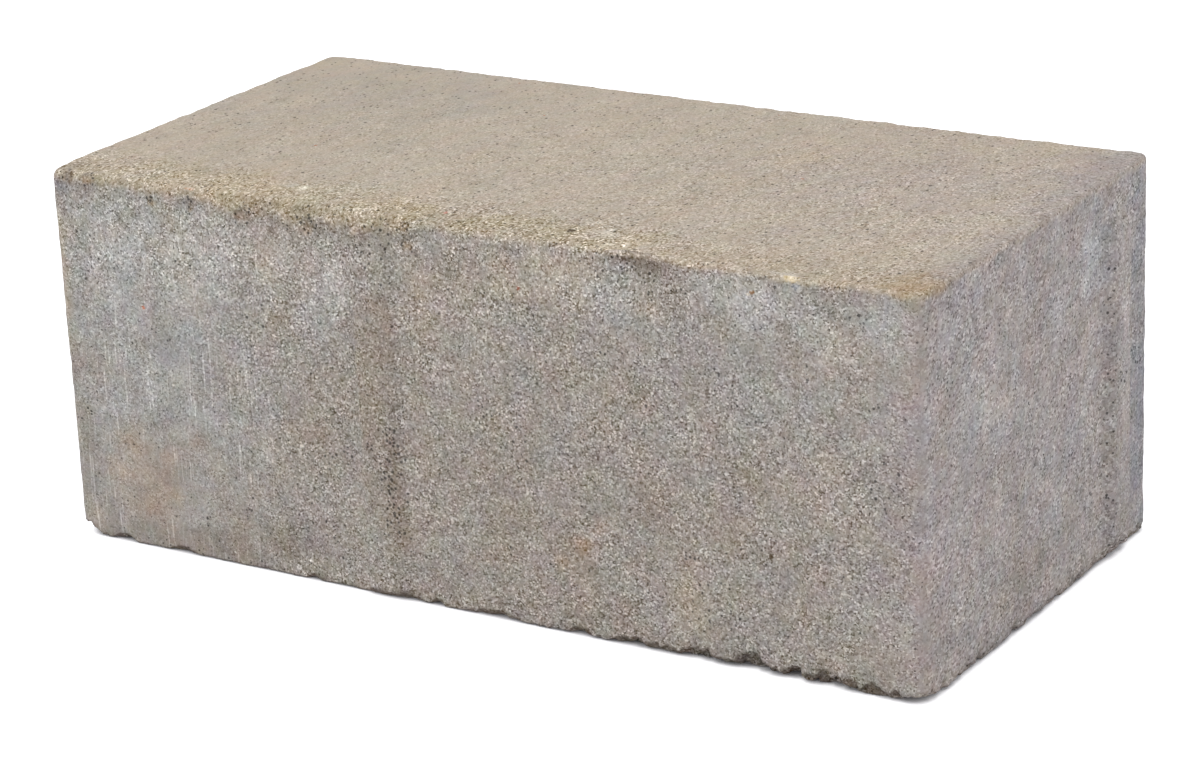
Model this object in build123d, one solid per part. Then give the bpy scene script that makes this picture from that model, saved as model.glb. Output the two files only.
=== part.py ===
# Concrete paving stone: one block, pressed in a mould, with upright spacer ribs on its four sides.
# Frame: origin at the middle of the bed face, X along the length, Y across, Z up to the wear face.
# Units: millimetres and degrees.
import os
from math import radians, tan

from build123d import *

# Block
length = 200.0
width = 100.0
height = 80.0
corner_radius = 3.0
arris_radius = 1.8

# Spacer rib: its flat runs from the bed face up, and its top end slopes back into the side
rib_flat_width = 8.0
rib_stand_out = 2.0
rib_flank_angle = 35.0
rib_bare_above = 5.0
rib_run_out = 6.0
rib_edge_radius = 0.6
rib_root_depth = 4.0

# Places of the ribs: each long side has one in each of its modules, and each end has one.
# A rib stands to the right of its module's middle, seen from outside, so facing ribs never meet.
modules_per_long_side = 2
long_side_rib_offset = 30.0
end_rib_offset = 33.0

# Scoop broken out of the front, with its middle a little below the wear face
scoop_x = 40.0
scoop_below = 3.0
scoop_length = 15.0
scoop_depth = 1.9

# Crumbled bed corner, front and right
crumbled_along_x = 7.0
crumbled_along_y = 14.0
crumbled_up = 2.8

# Chipped bed corner, front and left
chipped_along_x = 8.0
chipped_along_y = 9.0
chipped_up = 3.6

# What a cutting shape reaches past the faces that it cuts
overrun = 1.0


def moulded_block():
    """The block as the mould leaves it: upright round corners, and a worn arris round the wear face."""
    outline = RectangleRounded(length, width, corner_radius)
    block = extrude(outline, amount=height)
    wear_edges = block.faces().sort_by(Axis.Z)[-1].edges()
    return fillet(wear_edges, radius=arris_radius)


def spacer_rib():
    """One rib in its own frame: X along the side, Y out of the side face, Z up from the bed face."""
    plan = Polygon(*rib_plan(), align=None)
    upright = extrude(plan, amount=height)
    reach = rib_flat_width + rib_root_depth + rib_stand_out
    profile = Plane.YZ * Polygon(*rib_profile(), align=None)
    rib = upright & extrude(profile, amount=reach, both=True)
    flat = rib.faces().sort_by(Axis.Y)[-1]
    softened = [edge for edge in flat.edges() if edge.center().Z > rib_edge_radius]
    return fillet(softened, radius=rib_edge_radius)


def rib_plan():
    """Plan of the rib: a flat with two sloping flanks, and a root inside the block."""
    half_flat = rib_flat_width / 2
    half_foot = half_flat + rib_stand_out * tan(radians(rib_flank_angle))
    return [
        (-half_foot, -rib_root_depth),
        (half_foot, -rib_root_depth),
        (half_foot, 0),
        (half_flat, rib_stand_out),
        (-half_flat, rib_stand_out),
        (-half_foot, 0),
    ]


def rib_profile():
    """Side view of the rib: upright flat, then a slope that meets the side face below the arris."""
    top = height - arris_radius - rib_bare_above
    return [
        (-rib_root_depth, 0),
        (rib_stand_out, 0),
        (rib_stand_out, top - rib_run_out),
        (0, top),
        (-rib_root_depth, top),
    ]


def placed_ribs():
    """The ribs of the front and the right end, and the same again after half a turn about Z."""
    rib = spacer_rib()
    module = length / modules_per_long_side
    on_front = Rot(0, 0, 180) * rib
    on_right = Rot(0, 0, -90) * rib
    first_x = -length / 2 + module / 2 + long_side_rib_offset
    ribs = [Pos(first_x + step * module, -width / 2, 0) * on_front for step in range(modules_per_long_side)]
    ribs.append(Pos(length / 2, end_rib_offset, 0) * on_right)
    return ribs + [Rot(0, 0, 180) * placed for placed in ribs]


def edge_scoop():
    """Ball whose near side is the scoop: as long and as deep as stated, measured on the bare front."""
    ball_radius = (scoop_length**2 / 4 + scoop_depth**2) / (2 * scoop_depth)
    deepest = Vector(scoop_x, scoop_depth - width / 2, height - scoop_below)
    centre = deepest - Vector(0, ball_radius, 0)
    return Pos(*centre) * Sphere(ball_radius)


def broken_corner(side_x, along_x, along_y, up):
    """Wedge that takes off the front bed corner on one side, flat from edge to edge."""
    corner = Vector(side_x * length / 2, -width / 2, 0)
    inner = [
        corner + Vector(-side_x * along_x, 0, 0),
        corner + Vector(0, along_y, 0),
        corner + Vector(0, 0, up),
    ]
    broken_face = Face(Wire.make_polygon(inner))
    outward = corner - broken_face.center()
    return extrude(broken_face, amount=outward.length + overrun, dir=outward)


def paving_stone():
    """The whole stone as one solid."""
    stone = moulded_block()
    for rib in placed_ribs():
        stone = stone + rib
    stone = stone - edge_scoop()
    stone = stone - broken_corner(1, crumbled_along_x, crumbled_along_y, crumbled_up)
    stone = stone - broken_corner(-1, chipped_along_x, chipped_along_y, chipped_up)
    return stone.solid()


os.makedirs("parts", exist_ok=True)
export_step(paving_stone(), "parts/paving_stone.step")
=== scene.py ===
# Looks of the concrete paving stone: a worn, sandy block with spacer ribs, on a white studio floor.
# Lengths inside this script are millimetres in the row frame, and meshes are handed over in metres.
from math import pi, radians, sqrt, tan

import bpy
import numpy as np
from mathutils import Matrix, Quaternion, Vector


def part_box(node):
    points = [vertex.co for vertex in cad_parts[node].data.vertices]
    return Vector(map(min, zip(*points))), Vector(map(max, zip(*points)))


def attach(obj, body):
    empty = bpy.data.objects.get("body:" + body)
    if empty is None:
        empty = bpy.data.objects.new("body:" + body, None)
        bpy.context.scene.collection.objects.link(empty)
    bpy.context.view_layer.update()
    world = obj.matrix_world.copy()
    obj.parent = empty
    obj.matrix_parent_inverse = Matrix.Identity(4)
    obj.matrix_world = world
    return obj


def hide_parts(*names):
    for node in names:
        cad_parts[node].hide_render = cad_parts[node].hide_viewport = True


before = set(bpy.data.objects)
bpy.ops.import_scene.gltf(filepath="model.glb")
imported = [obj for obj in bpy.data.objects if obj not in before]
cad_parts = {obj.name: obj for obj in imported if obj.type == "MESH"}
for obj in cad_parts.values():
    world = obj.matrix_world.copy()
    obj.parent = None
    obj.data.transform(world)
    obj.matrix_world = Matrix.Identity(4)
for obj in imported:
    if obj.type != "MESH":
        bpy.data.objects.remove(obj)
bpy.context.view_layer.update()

# Sizes taken from the frame
MM = 0.001
BOX_LOW, BOX_HIGH = (np.array(corner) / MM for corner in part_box("paving_stone"))
RIB_STAND_OUT = 2.0
HALF_LENGTH = BOX_HIGH[0] - RIB_STAND_OUT
HALF_WIDTH = BOX_HIGH[1] - RIB_STAND_OUT
HEIGHT = BOX_HIGH[2]

# Moulded form, with a front arris that is worn round along one stretch and still crisp at its right
CORNER_RADIUS = 2.6
ARRIS_RADIUS = 1.2
WORN_ARRIS_RADIUS = 3.4
WORN_FROM_X = -58.0
WORN_TO_X = -12.0
WORN_FADE = 10.0
WORN_LEFT_SHARE = 0.3
BED_EDGE_RADIUS = 0.4

# Spacer ribs
RIB_HALF_FLAT = 4.0
RIB_FLANK_ANGLE = radians(40.0)
RIB_FLANK = RIB_STAND_OUT * tan(RIB_FLANK_ANGLE)
BARE_ABOVE_RIB = 6.8
RIB_TOP = HEIGHT - BARE_ABOVE_RIB
RIB_RUN_OUT = 6.0
LONG_SIDE_RIBS = (-20.0, 80.0)
END_RIB = 33.0
CLEAR_RIB = 0.95
FRONT_RIBS = (0.42, 0.32)

# Lattice that the mesh starts from, with more lines towards edges, rib flanks and the crumbled bed edge
LINES_X = 310
LINES_Y = 76
LINES_Z = 62
CRUMBLED_EXTRA = 0.8
CRUMBLED_FROM_X = 0.0
CRUMBLED_FULL_X = 10.0
FINE_STEPS = 4000
EDGE_EXTRA = 1.6
EDGE_REACH = 4.0
FLANK_EXTRA = 0.9
FLANK_REACH = 2.0

# Sides of the block: the axis that each faces along, its sign, and the two axes that turn outwards
SIDES = {
    "bed": (2, -1, 1, 0),
    "top": (2, 1, 0, 1),
    "front": (1, -1, 0, 2),
    "back": (1, 1, 2, 0),
    "left": (0, -1, 2, 1),
    "right": (0, 1, 1, 2),
}


# Noise

SEED = 20
NOISE_CELLS = 256
dice = np.random.default_rng(SEED)
SHUFFLED = np.tile(dice.permutation(NOISE_CELLS), 2)
SLOPES = dice.normal(size=(NOISE_CELLS, 3))
SLOPES /= np.linalg.norm(SLOPES, axis=1, keepdims=True)
SPOTS = dice.random((NOISE_CELLS, 3))
CHANCES = dice.random(NOISE_CELLS)
NOISE_GAIN = 1.7
LAYER_SHIFT = 17.3


def cell_number(cell):
    """One shuffled number for each whole-numbered cell of space."""
    x, y, z = (cell % NOISE_CELLS).T
    return SHUFFLED[SHUFFLED[SHUFFLED[x] + y] + z]


def noise(points, size, layer=0):
    """Smooth noise, about -1 to 1, with lumps of that size: one number, or one for each axis."""
    scaled = points / np.asarray(size, float) + layer * LAYER_SHIFT
    cell = np.floor(scaled).astype(int)
    part = scaled - cell
    fade = part**3 * (part * (part * 6 - 15) + 10)
    total = np.zeros(len(points))
    for corner in np.ndindex(2, 2, 2):
        slope = SLOPES[cell_number(cell + corner)]
        share = np.where(corner, fade, 1 - fade).prod(axis=1)
        total += share * ((part - corner) * slope).sum(axis=1)
    return total * NOISE_GAIN


def scatter(points, spacing, layer=0):
    """Distance to the nearest of many strewn spots, and a chance from 0 to 1 that belongs to that spot."""
    scaled = points / spacing + layer * LAYER_SHIFT
    cell = np.floor(scaled).astype(int)
    nearest = np.full(len(points), np.inf)
    chance = np.zeros(len(points))
    for step in np.ndindex(3, 3, 3):
        neighbour = cell + np.array(step) - 1
        number = cell_number(neighbour)
        away = np.linalg.norm(neighbour + SPOTS[number] - scaled, axis=1)
        closer = away < nearest
        nearest = np.where(closer, away, nearest)
        chance = np.where(closer, CHANCES[number], chance)
    return nearest * spacing, chance


def layered(points, layers):
    """Sum of some layers of noise: each has its strength, the size of its lumps and its number."""
    return sum(strength * noise(points, size, number) for strength, size, number in layers)


def smooth_step(value):
    """Eases from 0 to 1 as the value goes from 0 to 1."""
    clipped = np.clip(value, 0, 1)
    return clipped * clipped * (3 - 2 * clipped)


def eased(value, start, end):
    """Eases from 0 at the start to 1 at the end, whichever of the two is higher."""
    return smooth_step((value - start) / (end - start))


def hump(along, middle, reach):
    """1 at the middle, falling smoothly to nothing at the reach."""
    return smooth_step(1 - np.abs(along - middle) / reach)


# Shape of the stone as a distance: below 0 inside, above 0 outside

# Zone behind the front in which its edges are worn: where it begins and where it is full, in from the front
FRONT_ZONE_FROM = 8.0
FRONT_ZONE_FULL = 4.0

# Crumbs out of the upper edge: sizes, the noise below which none falls out, and depths
CRUMB_SIZE = 3.2
FINE_CRUMB_SIZE = 1.5
FINE_CRUMB_SHARE = 0.5
CRUMB_THRESHOLD = 0.15
CRUMB_DEPTH = 0.9
WORN_CRUMB_DEPTH = 0.9
ARRIS_SWELL = 0.3
ARRIS_SWELL_SIZE = 14
ARRIS_SKIN = 0.1

# Broken bed edge: lumps, teeth and notches, and the stretch over which it gets more crumbly to the right
BED_LUMP_SIZE = 7.0
BED_LUMP_HEIGHT = 0.8
BED_LEAST_HEIGHT = 0.35
TOOTH_SIZE = (1.4, 1.4, 3.0)
TOOTHED_MORE = 1.2
TOOTHED_FULL_X = 20.0
NOTCH_SPACING = 5.5
NOTCH_SHARPNESS = 5
CRUMBLY_FROM_X = 10.0
CRUMBLY_FULL_X = 70.0
CORNER_CRUMBLE = ((0.9, 3.4, 7), (0.7, 1.6, 8))

# Bites out of the front bed edge: place along X, reach along X, height
FRONT_BITES = (
    (-88.0, 4.0, 1.3),
    (-73.0, 5.0, 1.1),
    (-39.0, 2.0, 1.0),
    (-15.0, 3.0, 0.7),
    (-9.0, 2.0, 1.6),
    (6.0, 8.0, 1.0),
    (24.5, 3.0, 1.4),
    (37.0, 8.0, 1.0),
    (52.0, 7.0, 1.2),
    (63.0, 8.0, 1.9),
    (72.0, 2.2, 2.4),
    (81.0, 7.0, 1.4),
)

# Scoop broken out of the front, just under the edge of the wear face
SCOOP_X = 40.0
SCOOP_BELOW = 3.0
SCOOP_LENGTH = 15.0
SCOOP_DEPTH = 1.9

# Broken bed corners at the front: side along X, reach along X, along Y and up
BROKEN_CORNERS = (
    (1, 7.0, 14.0, 2.8),
    (-1, 8.0, 9.0, 3.6),
)

# Crumb holes in the worn front arris: place along X, height, radius
CRUMB_HOLES = (
    (-95.0, 78.6, 1.1),
    (-90.0, 79.2, 1.1),
    (-73.6, 76.2, 0.8),
    (-63.4, 76.6, 1.1),
    (-50.7, 76.3, 1.2),
    (-35.1, 76.0, 1.4),
    (-11.5, 78.8, 1.0),
    (-10.8, 75.7, 1.0),
)


def plan_distance(x, y):
    """Distance in plan to the block's outline with its round upright corners."""
    past_x = np.abs(x) - (HALF_LENGTH - CORNER_RADIUS)
    past_y = np.abs(y) - (HALF_WIDTH - CORNER_RADIUS)
    outside = np.hypot(np.maximum(past_x, 0), np.maximum(past_y, 0))
    inside = np.minimum(np.maximum(past_x, past_y), 0)
    return outside + inside - CORNER_RADIUS


def one_rib(along, up, share):
    """How far one rib stands out, by the distance along the side from its middle, and the height."""
    flank = (RIB_HALF_FLAT + RIB_FLANK - np.abs(along)) / RIB_FLANK
    run_out = (RIB_TOP - up) / RIB_RUN_OUT
    return RIB_STAND_OUT * share * smooth_step(np.minimum(flank, run_out))


def rib_height(points):
    """How far the ribs stand out of the sides at these points."""
    x, y, z = points.T
    on_long_side = np.abs(x) < HALF_LENGTH - CORNER_RADIUS
    long_side = np.where(on_long_side, -np.sign(y), 0)
    height = np.zeros(len(points))
    for place, share in zip(LONG_SIDE_RIBS, FRONT_RIBS):
        near_side = np.abs(y) > HALF_WIDTH - CORNER_RADIUS
        share_here = np.where(y < 0, share, CLEAR_RIB)
        height += one_rib(x - place * long_side, z, share_here) * near_side * on_long_side
    near_end = np.abs(x) > HALF_LENGTH - CORNER_RADIUS
    return height + one_rib(y - END_RIB * np.sign(x), z, CLEAR_RIB) * near_end


def near_front(points):
    """1 at the front and its edges, and 0 from a few millimetres behind it."""
    return eased(-points[:, 1], HALF_WIDTH - FRONT_ZONE_FROM, HALF_WIDTH - FRONT_ZONE_FULL)


def worn_stretch(points):
    """1 where the front arris is worn round, less to the left of that, and 0 elsewhere."""
    x = points[:, 0]
    left_of_end = smooth_step((WORN_TO_X - x) / WORN_FADE + 0.5)
    right_of_start = smooth_step((x - WORN_FROM_X) / WORN_FADE + 0.5)
    return near_front(points) * left_of_end * (WORN_LEFT_SHARE + (1 - WORN_LEFT_SHARE) * right_of_start)


def top_bite(points, arris, worn):
    """How far the crumbled upper edge is cut, from the sharp edge down and in."""
    coarse = np.maximum(0, noise(points, CRUMB_SIZE, 2) - CRUMB_THRESHOLD)
    fine = np.maximum(0, noise(points, FINE_CRUMB_SIZE, 3))
    crumbs = coarse + FINE_CRUMB_SHARE * fine
    return (2 - sqrt(2)) * arris - ARRIS_SKIN + (CRUMB_DEPTH + WORN_CRUMB_DEPTH * worn) * crumbs


def bed_bite(points):
    """How far the bed edge is cut, from the sharp edge up and in: rough, with teeth, notches and bites."""
    x = points[:, 0]
    toothed = 1 + TOOTHED_MORE * eased(x, CRUMBLED_FROM_X, TOOTHED_FULL_X)
    teeth = np.maximum(0, noise(points, TOOTH_SIZE, 5))
    lumps = BED_LUMP_HEIGHT * np.maximum(0, noise(points, BED_LUMP_SIZE, 4))
    rough = BED_LEAST_HEIGHT + lumps + toothed * teeth
    crumbly = eased(x, CRUMBLY_FROM_X, CRUMBLY_FULL_X)
    notches = np.maximum(0, 1 - NOTCH_SHARPNESS * np.abs(noise(points, NOTCH_SPACING, 9)))
    bite = (0.5 + 0.5 * crumbly) * rough + (0.3 + 1.0 * crumbly) * notches + 0.4 * crumbly
    front = near_front(points)
    for place, reach, high in FRONT_BITES:
        bite = bite + front * high * hump(x, place, reach)
    return bite


def edge_wear(points):
    """What has worn or broken off the edges, by the place round the stone: one value for each point."""
    worn = worn_stretch(points)
    swell = ARRIS_SWELL * noise(points, ARRIS_SWELL_SIZE, 1)
    arris = ARRIS_RADIUS + swell + (WORN_ARRIS_RADIUS - ARRIS_RADIUS) * worn
    return {
        "arris": arris,
        "top_bite": top_bite(points, arris, worn),
        "bed_bite": bed_bite(points),
        "crumble": layered(points, CORNER_CRUMBLE),
    }


def round_meet(first, second, radius):
    """Distance to where two faces meet in a round edge."""
    past_first = np.maximum(first + radius, 0)
    past_second = np.maximum(second + radius, 0)
    return np.hypot(past_first, past_second) + np.minimum(np.maximum(first, second) + radius, 0) - radius


def moulded_distance(points, wear, ribs):
    """Distance to the stone with round edges, and ribs that stand out that far, before anything broke off."""
    x, y, z = points.T
    side = plan_distance(x, y) - ribs
    upper = round_meet(side, z - HEIGHT, wear["arris"])
    return np.maximum(upper, round_meet(side, -z, BED_EDGE_RADIUS))


def hole_distance(points, place, high):
    """Distance to the middle of a crumb hole, which lies on the bare front."""
    return np.linalg.norm(points - np.array([place, -HALF_WIDTH, high]), axis=1)


def broken_distance(points, wear):
    """Distance to the cuts that the breaks make: above 0 where material is gone."""
    x, y, z = points.T
    side = plan_distance(x, y)
    top_cut = (side + z - HEIGHT + wear["top_bite"]) / sqrt(2)
    bed_cut = (side - z + wear["bed_bite"]) / sqrt(2)
    cut = np.maximum(top_cut, bed_cut)

    ball = (SCOOP_LENGTH**2 / 4 + SCOOP_DEPTH**2) / (2 * SCOOP_DEPTH)
    middle = np.array([SCOOP_X, -HALF_WIDTH - ball + SCOOP_DEPTH, HEIGHT - SCOOP_BELOW])
    cut = np.maximum(cut, ball - np.linalg.norm(points - middle, axis=1))

    for side_x, along_x, along_y, up in BROKEN_CORNERS:
        shares = np.array([along_x, along_y, up])
        inward = np.stack([HALF_LENGTH - side_x * x, y + HALF_WIDTH, z], axis=1)
        corner_cut = (1 - (inward / shares).sum(axis=1)) / np.linalg.norm(1 / shares)
        cut = np.maximum(cut, corner_cut + wear["crumble"])

    for place, high, radius in CRUMB_HOLES:
        cut = np.maximum(cut, radius - hole_distance(points, place, high))
    return cut


def stone_distance(points, wear):
    """Distance to the whole worn stone."""
    whole = moulded_distance(points, wear, rib_height(points))
    return np.maximum(whole, broken_distance(points, wear))


def slope_of(distance, points, step=0.02):
    """Direction in which a distance grows, by small steps along each axis."""
    slope = np.empty_like(points)
    for axis in range(3):
        shift = np.zeros(3)
        shift[axis] = step
        slope[:, axis] = (distance(points + shift) - distance(points - shift)) / (2 * step)
    return slope


def settle(distance, points, rounds=7):
    """Moves points onto the surface where the distance is nothing."""
    for _ in range(rounds):
        slope = slope_of(distance, points)
        steep = np.maximum((slope**2).sum(axis=1), 0.2)
        points = points - (distance(points) / steep)[:, None] * slope
    return points


# Lattice on the six sides of the block

def graded_lines(low, high, count, flanks, crumbled=0.0):
    """Places of the lattice lines along one axis: denser at both ends, at flanks and where it crumbles."""
    along = np.linspace(low, high, FINE_STEPS)
    crowd = 1 + crumbled * eased(along, CRUMBLED_FROM_X, CRUMBLED_FULL_X)
    for place in (low, high):
        crowd += EDGE_EXTRA * np.exp(-(((along - place) / EDGE_REACH) ** 2))
    for place in flanks:
        crowd += FLANK_EXTRA * np.exp(-(((along - place) / FLANK_REACH) ** 2))
    filled = np.concatenate([[0], np.cumsum((crowd[1:] + crowd[:-1]) / 2)])
    return np.interp(np.linspace(0, filled[-1], count), filled, along)


def flank_places(rib):
    """Middles of the two flanks of a rib."""
    middle = RIB_HALF_FLAT + RIB_FLANK / 2
    return [rib - middle, rib + middle]


def block_lattice():
    """Points on the block's sides, squares as four point numbers each, and the side of each square."""
    flanks_x = [sign * flank for rib in LONG_SIDE_RIBS for flank in flank_places(rib) for sign in (1, -1)]
    flanks_y = [sign * flank for flank in flank_places(END_RIB) for sign in (1, -1)]
    xs = graded_lines(-HALF_LENGTH, HALF_LENGTH, LINES_X, flanks_x, CRUMBLED_EXTRA)
    ys = graded_lines(-HALF_WIDTH, HALF_WIDTH, LINES_Y, flanks_y)
    zs = graded_lines(0.0, HEIGHT, LINES_Z, [])
    counts = (len(xs), len(ys), len(zs))

    squares = []
    square_sides = []
    for number, (facing, sign, first, second) in enumerate(SIDES.values()):
        line = 0 if sign < 0 else counts[facing] - 1
        start = np.array(list(np.ndindex(counts[first] - 1, counts[second] - 1)))
        corners = []
        for step_first, step_second in ((0, 0), (1, 0), (1, 1), (0, 1)):
            index = np.zeros((len(start), 3), int)
            index[:, facing] = line
            index[:, first] = start[:, 0] + step_first
            index[:, second] = start[:, 1] + step_second
            corners.append(np.ravel_multi_index(index.T, counts))
        squares.append(np.stack(corners, axis=1))
        square_sides.append(np.full(len(start), number))
    squares = np.concatenate(squares)
    square_sides = np.concatenate(square_sides)
    used, squares = np.unique(squares, return_inverse=True)
    i, j, k = np.unravel_index(used, counts)
    points = np.stack([xs[i], ys[j], zs[k]], axis=1)
    return points, squares.reshape(-1, 4), square_sides


# Fine relief of the cast surface, with layers of noise as height, size of the lumps and number
CAST_RELIEF = ((0.12, 45, 11), (0.09, 6.0, 12), (0.08, 2.6, 13), (0.10, 1.3, 15))
DRAG_RELIEF = ((0.06, (2.2, 2.2, 22.0), 14),)
BROKEN_RELIEF = ((0.35, 2.2, 16), (0.25, 4.5, 17))
RELIEF_SINK = 0.14

# Hollows: how far apart, how wide and how deep, and the share of them that is open in each place
HOLLOW_SPACING = 5.0
HOLLOW_RADIUS = 1.1
HOLLOW_DEPTH = 0.6
SIDE_HOLLOWS = 0.10
RIB_HOLLOWS = 0.35
BROKEN_HOLLOWS = 0.2

# Depth below the moulded form from which the surface counts as broken, and where it fully does
BROKEN_DEPTHS = (0.05, 0.55)


def relief(points, facing, broken):
    """Height of the sandy relief along the surface's own direction: mostly dips below the mould's face."""
    upright = 1 - np.abs(facing[:, 2])
    dragged = upright * layered(points, DRAG_RELIEF)
    crumbled = broken * layered(points, BROKEN_RELIEF)
    return layered(points, CAST_RELIEF) + dragged + crumbled - RELIEF_SINK


def hollow_depth(points, share):
    """Depth, from 0 to 1, of the strewn hollows; the share says how many of them are open."""
    away, chance = scatter(points, HOLLOW_SPACING, 21)
    size = HOLLOW_RADIUS * (0.5 + 0.5 * chance / np.maximum(share, 0.01))
    return np.where(chance < share, smooth_step(1.15 - away / size), 0)


# Tones of the surface: colours as they are seen in plain light, in sRGB steps from 0 to 255

def linear(colour):
    """Linear light of an sRGB colour in steps from 0 to 255."""
    share = np.asarray(colour, float) / 255
    return np.where(share <= 0.04045, share / 12.92, ((share + 0.055) / 1.055) ** 2.4)


SIDE_GREY = (157, 150, 142)
END_MAUVE = (163, 156, 153)
WEAR_BEIGE = (183, 171, 156)
MILK = (168, 169, 166)
CHALK = (196, 196, 194)
FROST = (166, 167, 172)
CREAM = (186, 176, 163)
SALMON = (170, 148, 129)
SAND = (180, 166, 146)
BROWN = (136, 119, 100)
RUST = (150, 118, 84)
# Earthy brown: stains and dirt, and also painted shade in the scoop and along the crumbled worn arris
EARTH_AND_SHADE = (112, 102, 92)
SLATE = (138, 137, 140)
MAUVE = (160, 150, 149)
OLIVE = (176, 162, 136)
ORANGE = (188, 160, 128)
# Darker olive, painted as shade on the rolled arris of the wear face
OLIVE_PAINTED_SHADE = (150, 137, 114)
GOLD = (160, 136, 108)
# Dark brown, painted as shade under the upper edges of crumb holes and on the bed edge that faces down
PAINTED_SHADE_BROWN = (84, 73, 62)

# Patches on the long front side: colour, place along X, height, reach along X, reach up, amount
FRONT_PATCHES = (
    (MILK, -74, 44, 38, 48, 0.55),
    (MILK, -85, 62, 12, 18, 0.4),
    (CHALK, -84, 63, 6, 11, 0.25),
    (CHALK, -68, 37, 4, 14, 0.25),
    (CHALK, -80, 43, 8, 10, 0.2),
    (CHALK, -33, 66, 5, 7, 0.35),
    (CHALK, -28.5, 63, 4, 11, 0.45),
    (MILK, -37, 55, 7, 8, 0.5),
    (CREAM, -68, 64, 10, 9, 0.5),
    (CREAM, -45, 67, 10, 7, 0.5),
    (CREAM, -56, 68, 8, 6, 0.35),
    (SAND, -98.5, 60, 2.5, 25, 0.5),
    (CHALK, -66, 66, 36, 20, 0.13),
    (SLATE, -68, 40, 36, 18, 0.19),
    (SALMON, -79, 15, 13, 11, 0.35),
    (SALMON, -83.6, 21.8, 5, 3.5, 0.5),
    (SALMON, -75, 21, 3.5, 3, 0.5),
    (SALMON, -73.9, 12.8, 4, 3.5, 0.5),
    (SALMON, -80.9, 9.3, 5, 3.5, 0.5),
    (SALMON, -87.5, 16.7, 4, 4, 0.5),
    (CREAM, -96, 5, 4, 5, 0.4),
    (CHALK, -88, 4, 1.2, 4, 0.3),
    (SLATE, -97, 78, 9, 4, 0.6),
    (BROWN, -66, 26, 5, 4, 0.25),
    (EARTH_AND_SHADE, -63, 3, 30, 6, 0.3),
    (EARTH_AND_SHADE, -43, 7.5, 8, 5, 0.4),
    (SAND, -8, 62, 6, 9, 0.4),
    (SAND, 13, 71, 8, 7, 0.4),
    (SAND, 25, 73, 8, 6, 0.4),
    (SAND, 42, 69, 7, 5, 0.4),
    (CREAM, 82, 67, 5, 6, 0.6),
    (MILK, 35, 69, 7, 11, 0.5),
    (MILK, 58, 75, 9, 8, 0.55),
    (MILK, 67, 73, 9, 8, 0.55),
    (CHALK, 67, 75, 5, 4, 0.3),
    (MILK, 93, 73, 9, 9, 0.6),
    (MILK, 92, 52, 8, 8, 0.4),
    (CREAM, 80, 46, 4, 6, 0.35),
    (CREAM, 80, 34, 4, 6, 0.3),
    (MILK, 85.5, 18, 6, 12, 0.4),
    (SAND, 50, 11, 10, 8, 0.4),
    (SAND, 12, 60, 34, 24, 0.13),
    (BROWN, 10, 25, 44, 30, 0.1),
    (CHALK, 70, 62, 30, 22, 0.06),
    (MILK, 70, 62, 30, 22, 0.15),
    (SALMON, 70, 30, 40, 26, 0.05),
    (CREAM, 66, 74, 12, 7, 0.35),
    (CHALK, 92, 70, 10, 9, 0.12),
    (SAND, 20, 76, 18, 5, 0.35),
    (BROWN, 24, 17, 7, 6, 0.15),
    (ORANGE, 25.5, 19.5, 4, 3, 0.45),
    (ORANGE, 21, 14.5, 3, 2.5, 0.3),
    (ORANGE, 30, 23, 3, 2.5, 0.25),
    (BROWN, 43, 30, 10, 6, 0.3),
    (RUST, 38, 54, 10, 6, 0.12),
    (BROWN, 62, 41, 8, 5, 0.15),
    (BROWN, 8, 28, 10, 14, 0.15),
    (EARTH_AND_SHADE, 40, 2, 70, 5, 0.15),
    (BROWN, -34, 38, 9, 20, 0.2),
    (SLATE, 16, 50, 16, 22, 0.2),
    (SLATE, 55, 58, 24, 16, 0.2),
    (MAUVE, 100, 36, 14, 70, 0.6),
    (EARTH_AND_SHADE, -95, 24, 5, 18, 0.18),
    (CHALK, 95, 15, 8, 14, 0.16),
    (CHALK, 27, 72, 9, 6, 0.2),
    (CHALK, 69, 72, 12, 7, 0.17),
    (EARTH_AND_SHADE, -9, 53, 8, 9, 0.12),
    (BROWN, 25, 19, 5, 4, 0.25),
    (SLATE, -81, 58, 8, 9, 0.15),
    (CHALK, 95, 74, 6, 7, 0.12),
)

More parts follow.
